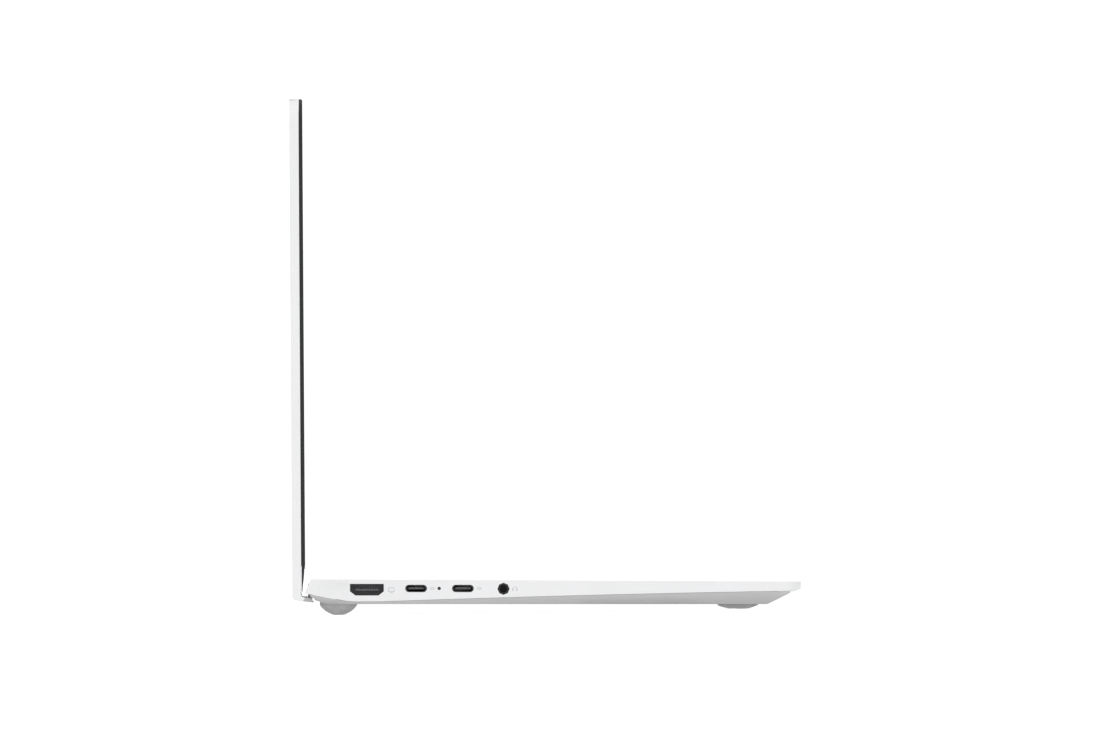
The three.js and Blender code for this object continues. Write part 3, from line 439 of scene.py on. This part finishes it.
def close_lid_seam(shape):
    """Thickens the bezel backwards until only a hairline is left in front of the lid shell."""
    for vert in shape.verts:
        place = LID_TURN.inverted() @ vert.co
        if abs(place.y - BEZEL_BACK * MM) < 0.03 * MM:
            place.y = (SHELL_FRONT - SEAM) * MM
            vert.co = LID_TURN @ place


def strip(shape, path, width, left, right):
    """A strip of even thickness that follows a (Y, Z) path and runs from left to right."""
    inner, outer = [], []
    for index, (y, z) in enumerate(path):
        before = path[max(index - 1, 0)]
        after = path[min(index + 1, len(path) - 1)]
        along = Vector((after[0] - before[0], after[1] - before[1])).normalized()
        inner.append((y, z))
        outer.append((y - along.y * width, z + along.x * width))
    outline = inner + outer[::-1]
    rings = [[shape.verts.new((x, y, z)) for y, z in outline] for x in (left, right)]
    bridge(shape, *rings)
    count = len(path)
    for ring in rings:
        for index in range(count - 1):
            shape.faces.new((ring[index], ring[index + 1], ring[-index - 2], ring[-index - 1]))


def hook_liner(shape):
    """A thin black strip that paints the shadow in the gap along the hollow of the lid's hook, from the bezel's
    chin to the hook's tip.
    """
    start, middle, end = Vector((5.62, -2.1)), Vector((5.3, -5.05)), Vector((2.75, -4.27))
    path = []
    for step in range(13):
        t = step / 12
        point = start * (1 - t) ** 2 + middle * 2 * t * (1 - t) + end * t ** 2
        path.append((point.x, point.y))
    short = [(y, z) for y, z in path if math.atan2(z, y) > math.radians(HOOK_SIDE_END)]
    strip(shape, short, -HOOK_SHADOW_DEPTH, -HOOK_SHADOW_SPAN, -HOOK_MIDDLE)
    strip(shape, path, -HOOK_SHADOW_DEPTH, -HOOK_MIDDLE, HOOK_MIDDLE)
    strip(shape, short, -HOOK_SHADOW_DEPTH, HOOK_MIDDLE, HOOK_SHADOW_SPAN)


def bumper(shape):
    """The low rubber rim round the display, which meets the deck when the lid is closed."""
    inset, width = BUMPER["inset"], BUMPER["width"]
    face = LID_FACE
    rows = []
    for reach in (inset, inset + width):
        radius = LID_RADIUS - reach
        side, top = HALF - reach, LID_TOP - reach
        path = [(-side, BUMPER["low"])]
        for step in range(13):
            turn = math.pi - step / 12 * math.pi / 2
            path.append((-side + radius + radius * math.cos(turn), top - radius + radius * math.sin(turn)))
        path += [(-x, z) for x, z in reversed(path)]
        rows.append(path)
    crown = BUMPER["height"]
    slope = 0.25
    outer, inner = rows
    rings = []
    for (x0, z0), (x1, z1) in zip(outer, inner):
        section = [(0.0, 0.0), (slope / width, crown), (1 - slope / width, crown), (1.0, 0.0), (0.5, -0.05)]
        rings.append([
            shape.verts.new((x0 + (x1 - x0) * part, face + 0.02 - rise, z0 + (z1 - z0) * part))
            for part, rise in section
        ])
    for here, there in zip(rings, rings[1:]):
        bridge(shape, here, there)
    shape.faces.new(rings[0])
    shape.faces.new(list(reversed(rings[-1])))


def lens(shape):
    """The camera's window: a shallow turned dome inside a raised ring."""
    centre_z = (LID_TURN.inverted() @ middle("camera_module")).z / MM
    profile = [(0.5, 0.3), (0.85, 0.22), (1.0, 0.1), (1.05, 0.14), (1.3, 0.14), (1.34, 0.0)]
    sides = 28
    front = LID_FACE + 0.25
    rings = []
    for reach, rise in profile:
        rings.append([
            shape.verts.new((reach * math.cos(2 * math.pi * side / sides), front - rise,
                             centre_z + 0.2 + reach * math.sin(2 * math.pi * side / sides)))
            for side in range(sides)
        ])
    for here, there in zip(rings, rings[1:]):
        bridge(shape, here, there)
    shape.faces.new(rings[0])
    shape.faces.new(list(reversed(rings[-1])))


def lid_details():
    # Painted shadow: a black strip in the hook's hollow stands in for the shade in the gap under the base.
    piece("hook_liner", hook_liner, BUMPER_RUBBER, "lid", LID_TURN)
    piece("display_bumper", bumper, BUMPER_RUBBER, "lid", LID_TURN)
    piece("camera_lens", lens, LENS_GLASS, "lid", LID_TURN)


def shells():
    front = (1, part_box("top_case")[0].y, -1.0)
    top = (2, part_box("lid_shell")[1].z, 1.0)
    refined("top_case", CASE_EDGE, end=front)
    refined("bottom_cover", CASE_EDGE, reshape=close_seam, end=front)
    refined("lid_shell", LID_EDGE, end=top)
    refined("display_bezel", FINE_EDGE, reshape=close_lid_seam)
    refined("touchpad", FINE_EDGE)


# ------------------------------------------------------------------ keyboard
LEGENDS = {
    "function_keys": ["Esc", *[f"F{number}" for number in range(1, 13)], "Del"],
    "number_keys": ["`", *"1234567890", "-", "=", "Backspace"],
    "upper_letter_keys": ["Tab", *"QWERTYUIOP", "[", "]", "\\"],
    "home_letter_keys": ["Caps Lock", *"ASDFGHJKL", ";", "'", "Enter"],
    "lower_letter_keys": ["Shift", *"ZXCVBNM", ",", ".", "/", "Shift"],
    "modifier_keys": ["Ctrl", "Fn", "Alt", "Alt"],
    "space_bar": [""],
    "arrow_keys": ["Alt", "Ctrl", "<", "^", "v", ">"],
}


def cap_cells(node):
    """The rectangle of each keycap's top, in deck coordinates and millimetres, left to right."""
    into_deck = DECK_TURN.inverted()
    mesh = frame["nodes"][node].data
    points = [(into_deck @ vertex.co) / MM for vertex in mesh.vertices]
    top = max(point.z for point in points)
    groups = []
    for polygon in mesh.polygons:
        corners = [points[index] for index in polygon.vertices]
        if min(corner.z for corner in corners) < top - 0.05:
            continue
        keys = {(round(corner.x, 2), round(corner.y, 2)) for corner in corners}
        joined = [group for group in groups if group & keys]
        groups = [group for group in groups if not group & keys]
        groups.append(keys.union(*joined))
    cells = []
    for group in groups:
        xs, ys = [x for x, _ in group], [y for _, y in group]
        cells.append((min(xs), max(xs), min(ys), max(ys), top))
    return sorted(cells, key=lambda cell: (round(cell[0], 1), -cell[2]))


def keycap(shape, cell):
    """A cap with a drafted skirt, rounded shoulders and a top that is hollowed to a flat."""
    left, right, front, rear, top = cell
    half_width, half_depth = (right - left) / 2, (rear - front) / 2
    centre = ((left + right) / 2, (front + rear) / 2)
    sections = [
        (0.0, -CAP_SKIRT),
        (CAP_DRAFT * 0.55, -CAP_ROUND * 1.6),
        (CAP_DRAFT * 0.75, -CAP_ROUND * 0.6),
        (CAP_DRAFT * 1.15, -CAP_ROUND * 0.12),
        (CAP_DRAFT * 1.9, 0.0),
        (CAP_FLAT * 0.62, -CAP_DISH * 0.3),
        (CAP_FLAT * 0.84, -CAP_DISH * 0.8),
        (CAP_FLAT, -CAP_DISH),
    ]
    rings = [
        rounded_ring(shape, half_width - inset, half_depth - inset, CAP_RADIUS, top + drop, centre)
        for inset, drop in sections
    ]
    for lower, upper in zip(rings, rings[1:]):
        bridge(shape, lower, upper)
    shape.faces.new(list(reversed(rings[0])))
    shape.faces.new(rings[-1])


def legend_mesh(text, size):
    """A flat mesh of one legend, its lower left corner at the origin, in millimetres."""
    curve = bpy.data.curves.new("legend", "FONT")
    curve.body = text
    curve.size = size * 1.35
    curve.resolution_u = 3
    holder = bpy.data.objects.new("legend", curve)
    bpy.context.scene.collection.objects.link(holder)
    evaluated = holder.evaluated_get(bpy.context.evaluated_depsgraph_get())
    mesh = bpy.data.meshes.new_from_object(evaluated)
    bpy.data.objects.remove(holder)
    bpy.data.curves.remove(curve)
    return mesh


def print_legends(shape, node, cells):
    for cell, text in zip(cells, LEGENDS[node]):
        if not text:
            continue
        size = LETTER_SIZE if len(text) == 1 else WORD_SIZE
        mesh = legend_mesh(text, size)
        left, _, front, rear, top = cell
        start = Vector((left + CAP_FLAT + 0.3, max(front + 1.7, rear - CAP_FLAT - 0.2 - size), 0.0))
        first = len(shape.verts)
        shape.from_mesh(mesh)
        shape.verts.ensure_lookup_table()
        for vert in shape.verts[first:]:
            vert.co += start
            vert.co.z = top - CAP_DISH + PRINT_LIFT
        bpy.data.meshes.remove(mesh)


def power_symbol(shape, cell):
    left, right, front, rear, top = cell
    centre = ((left + right) / 2, (front + rear) / 2)
    low, high = top - CAP_DISH, top - CAP_DISH + PRINT_LIFT
    flat_ring(shape, 1.5, 1.25, low, high, centre, 24, math.radians(125), math.radians(290))
    block(shape, (centre[0] - 0.13, centre[1] + 0.5, low), (centre[0] + 0.13, centre[1] + 1.8, high))


def keyboard():
    for node in LEGENDS:
        cells = cap_cells(node)

        def caps(shape, cells=cells):
            for cell in cells:
                keycap(shape, cell)

        made = piece(node + "_caps", caps, MATERIALS["keycap"], BODY_OF[node], DECK_TURN)
        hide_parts(node)
        if any(LEGENDS[node]):
            piece(node + "_print", lambda shape, node=node, cells=cells: print_legends(shape, node, cells),
                  INK_DARK, BODY_OF[node], DECK_TURN)
    cells = cap_cells("power_button")
    made = piece("power_button_cap", lambda shape: keycap(shape, cells[0]), MATERIALS["keycap"],
                 "power_button", DECK_TURN)
    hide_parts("power_button")
    piece("power_button_print", lambda shape: power_symbol(shape, cells[0]), INK_DARK, "power_button",
          DECK_TURN)


# ------------------------------------------------------------------ feet
def domed_foot(shape, node):
    """A dome below a short wall, turned from a profile; its lowest point is a small flat."""
    low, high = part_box(node)
    centre = (low + high) / (2 * MM)
    radius = (high.x - low.x) / (2 * MM)
    height = (high.z - low.z) / MM
    flat = 1.5
    bow_centre = (radius ** 2 + height ** 2 - flat ** 2) / (2 * height)
    bow = math.hypot(flat, bow_centre)
    start, end = math.atan2(flat, bow_centre), math.atan2(radius, bow_centre - height)
    steps, sides = 14, 56
    profile = []
    for step in range(steps + 1):
        turn = start + (end - start) * step / steps
        profile.append((bow * math.sin(turn), bow_centre - bow * math.cos(turn)))
    profile.append((radius, height + FOOT_WALL))
    rings = [
        [
            shape.verts.new((
                centre.x + reach * math.cos(2 * math.pi * side / sides),
                centre.y + reach * math.sin(2 * math.pi * side / sides),
                z,
            ))
            for side in range(sides)
        ]
        for reach, z in profile
    ]
    for lower, upper in zip(rings, rings[1:]):
        bridge(shape, lower, upper)
    shape.faces.new(list(reversed(rings[0])))
    shape.faces.new(rings[-1])


def feet():
    for node in ("rear_foot_left", "rear_foot_right", "front_foot_left", "front_foot_right"):
        made = piece(node + "_dome", lambda shape, node=node: domed_foot(shape, node),
                     MATERIALS["foot_rubber"], "base", smooth=40.0)
        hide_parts(node)


# ------------------------------------------------------------------ sockets
def contact_row(shape, node, count, pitch, lift, depth=(1.6, 7.0), width=0.28, thickness=0.06):
    """A row of flat contacts along a tongue, in base-plane coordinates relative to the socket."""
    centre = BASE_TURN.inverted() @ middle(node) / MM
    side = 1.0 if centre.x > 0 else -1.0
    face = abs((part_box(node)[0] if side < 0 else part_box(node)[1]).x) / MM
    xs = sorted((side * (face - depth[0]), side * (face - depth[1])))
    for index in range(count):
        y = centre.y + (index - (count - 1) / 2) * pitch
        block(shape, (xs[0], y - width / 2, centre.z + lift), (xs[1], y + width / 2, centre.z + lift + thickness))


def sockets():
    for node in ("video_receptacle", "usb_c_receptacle_rear", "usb_c_receptacle_front",
                 "usb_a_receptacle_rear", "usb_a_receptacle_front", "card_slot"):
        refined(node, FINE_EDGE, material=SOCKET_METAL)
    refined("headphone_jack", FINE_EDGE, material=SOCKET_BLACK)
    refined("charge_light_guide", FINE_EDGE, material=SOCKET_BLACK)
    for node in ("usb_c_receptacle_rear", "usb_c_receptacle_front"):
        piece(node + "_contacts", lambda shape, node=node: contact_row(shape, node, 10, 0.6, 0.36),
              CONTACT, "base", BASE_TURN)
    for node in ("usb_a_receptacle_rear", "usb_a_receptacle_front"):
        piece(node + "_contacts",
              lambda shape, node=node: contact_row(shape, node, 4, 2.3, 0.24, (1.8, 8.0), 1.0),
              CONTACT, "base", BASE_TURN)
    piece("video_receptacle_contacts",
          lambda shape: contact_row(shape, "video_receptacle", 9, 1.05, 0.28, width=0.45),
          CONTACT, "base", BASE_TURN)


# ------------------------------------------------------------------ hinges, screws and the inside
def metalwork():
    for side in ("left", "right"):
        for node in ("hinge_bracket_", "hinge_pin_", "hinge_arm_"):
            refined(node + side, METAL_EDGE)
    for node in SLOT_OF:
        if node.startswith("cover_screw_"):
            refined(node, FINE_EDGE)


def insides():
    """The inner pieces keep their CAD shapes and get their finishes."""
    for node, made in frame["nodes"].items():
        made.data.materials.clear()
        made.data.materials.append(MATERIALS[SLOT_OF[node]])


# ------------------------------------------------------------------ printed marks beside the sockets
def screen_mark(shape, y, z):
    """A plain display outline on a stand."""
    line = 0.16
    half_width, half_height = 1.2, 0.8
    for edge in (-1, 1):
        block(shape, (y + edge * half_width - line / 2, z - half_height, 0), (y + edge * half_width + line / 2,
              z + half_height, PRINT_LIFT))
        block(shape, (y - half_width, z + edge * half_height - line / 2, 0), (y + half_width,
              z + edge * half_height + line / 2, PRINT_LIFT))
    block(shape, (y - 0.6, z - half_height - 0.5, 0), (y + 0.6, z - half_height - 0.34, PRINT_LIFT))


def oval_mark(shape, y, z):
    """A plain oval socket outline."""
    for edge in (-1, 1):
        block(shape, (y - 0.5, z + edge * 0.38 - 0.07, 0), (y + 0.5, z + edge * 0.38 + 0.07, PRINT_LIFT))
        flat_ring(shape, 0.45, 0.31, 0, PRINT_LIFT, (y + edge * 0.5, z), 12, -edge * math.pi / 2, math.pi * 1.0)


def headphone_mark(shape, y, z):
    """A head band with two ear pads."""
    flat_ring(shape, 0.95, 0.8, 0, PRINT_LIFT, (y, z), 20, math.radians(-20), math.radians(220))
    for edge in (-1, 1):
        block(shape, (y + edge * 0.87 - 0.2, z - 0.75, 0), (y + edge * 0.87 + 0.2, z - 0.1, PRINT_LIFT))


def side_print(name, draw, y_mm, z_mm):
    """Prints a mark on the left wall; y and z are in the base's own plane, from the base's datum."""
    onto_wall = Matrix(((0, 0, -1, 0), (1, 0, 0, 0), (0, 1, 0, 0), (0, 0, 0, 1)))
    place = Matrix.Translation((LEFT_FACE, 0, 0)) @ BASE_TURN @ onto_wall
    piece(name, lambda shape: draw(shape, y_mm, z_mm), INK_GREY, "base", place)


def marks():
    def beside(node, gap):
        low, high = (BASE_TURN.inverted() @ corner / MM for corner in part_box(node))
        return low.y - gap, (low.z + high.z) / 2

    y, z = beside("video_receptacle", 2.6)
    side_print("video_mark", screen_mark, y, z)
    for node in ("usb_c_receptacle_rear", "usb_c_receptacle_front"):
        y, z = beside(node, 2.4)
        side_print(node + "_mark", oval_mark, y, z)
    y, z = beside("headphone_jack", 1.6)
    side_print("headphone_mark", headphone_mark, y, z)


# ------------------------------------------------------------------ stage, light and camera
def floor():
    mesh = bpy.data.meshes.new("floor")
    half = 6.0
    corners = [(-half, -half, 0), (half, -half, 0), (half, half, 0), (-half, half, 0)]
    mesh.from_pydata(corners, [], [(0, 1, 2, 3)])
    finish = Finish("floor", 0.9)
    finish.tint((0.5, 0.5, 0.5), (0.51, 0.51, 0.51), finish.noise(300.0))
    finish.set("Emission Color", (1.0, 1.0, 1.0, 1.0)).set("Emission Strength", FLOOR_GLOW)
    mesh.materials.append(finish.material)
    made = bpy.data.objects.new("floor", mesh)
    bpy.context.scene.collection.objects.link(made)


FLOOR_GLOW = 0.58  # keeps the shade under the laptop light
SKY_EVEN = 0.45
SKY_SIDES = 0.5  # added towards the left and right, so that edges that face back or front go darker
SKY_LEFT = 0.4
SKY_TOP = 0.9
SKY_SEEN = 1.1


def sky_light(tree):
    """The strength of the surround's light in each direction."""
    direction = tree.nodes.new("ShaderNodeTexCoord").outputs["Generated"]

    def combine(operation, first, second):
        node = tree.nodes.new("ShaderNodeVectorMath")
        node.operation = operation
        tree.links.new(first, node.inputs[0])
        if isinstance(second, tuple):
            node.inputs[1].default_value = second
        else:
            tree.links.new(second, node.inputs[1])
        return node.outputs["Value" if operation == "DOT_PRODUCT" else "Vector"]

    def plus(first, second):
        node = tree.nodes.new("ShaderNodeMath")
        tree.links.new(first, node.inputs[0])
        if isinstance(second, float):
            node.inputs[1].default_value = second
        else:
            tree.links.new(second, node.inputs[1])
        return node.outputs["Value"]

    squares = combine("MULTIPLY", direction, direction)
    lobes = combine("DOT_PRODUCT", squares, (SKY_SIDES, 0.0, SKY_TOP))
    tilt = combine("DOT_PRODUCT", direction, (-SKY_LEFT, 0.0, 0.0))
    return plus(plus(lobes, tilt), SKY_EVEN)


def sky():
    """A white surround: it lights mostly from the sides and looks plain white to the camera."""
    world = bpy.data.worlds.new("studio")
    world.use_nodes = True
    tree = world.node_tree
    tree.nodes.clear()
    output = tree.nodes.new("ShaderNodeOutputWorld")
    mix = tree.nodes.new("ShaderNodeMixShader")
    path = tree.nodes.new("ShaderNodeLightPath")
    tree.links.new(path.outputs["Is Camera Ray"], mix.inputs["Fac"])
    lit, seen = (tree.nodes.new("ShaderNodeBackground") for _ in range(2))
    for index, background in ((1, lit), (2, seen)):
        background.inputs["Color"].default_value = (1.0, 1.0, 1.0, 1.0)
        tree.links.new(background.outputs["Background"], mix.inputs[index])
    tree.links.new(sky_light(tree), lit.inputs["Strength"])
    seen.inputs["Strength"].default_value = SKY_SEEN
    tree.links.new(mix.outputs["Shader"], output.inputs["Surface"])
    bpy.context.scene.world = world


def softbox(name, place, aim, size, power):
    data = bpy.data.lights.new(name, "AREA")
    data.shape = "DISK"
    data.size = size
    data.energy = power
    made = bpy.data.objects.new(name, data)
    made.location = place
    made.rotation_euler = (Vector(aim) - Vector(place)).to_track_quat("-Z", "Y").to_euler()
    bpy.context.scene.collection.objects.link(made)


PHOTO_WIDTH = 0.47  # metres that the frame spans at the left side of the base
LENS = 1000.0
SENSOR = 36.0


def camera():
    """A long lens, level with the base and square to the side, so that only the side shows."""
    data = bpy.data.cameras.new("camera")
    data.lens = LENS
    data.sensor_width = SENSOR
    distance = PHOTO_WIDTH * LENS / SENSOR
    data.clip_end = distance * 3
    made = bpy.data.objects.new("camera", data)
    place = Vector((LEFT_FACE - distance, HINGE.y + 0.004, 0.0095))
    aim = Vector((LEFT_FACE, HINGE.y - 0.1024, 0.1054))
    made.location = place
    look = (aim - place).to_track_quat("-Z", "Y")
    roll = math.atan2(-BASE_NORMAL.y, BASE_NORMAL.z)
    made.rotation_mode = "QUATERNION"
    made.rotation_quaternion = look @ Matrix.Rotation(-roll, 3, "Z").to_quaternion()
    bpy.context.scene.collection.objects.link(made)
    bpy.context.scene.camera = made


def light():
    bpy.context.scene.view_settings.view_transform = "Standard"
    sky()
    softbox("key", (-1.2, -1.4, 2.2), (0, 0, 0.08), 1.4, 7)
    softbox("fill", (1.6, -1.5, 1.3), (0, 0, 0.08), 1.2, 3)


insides()
shells()
lid_details()
keyboard()
feet()
sockets()
metalwork()
marks()
floor()
light()
camera()
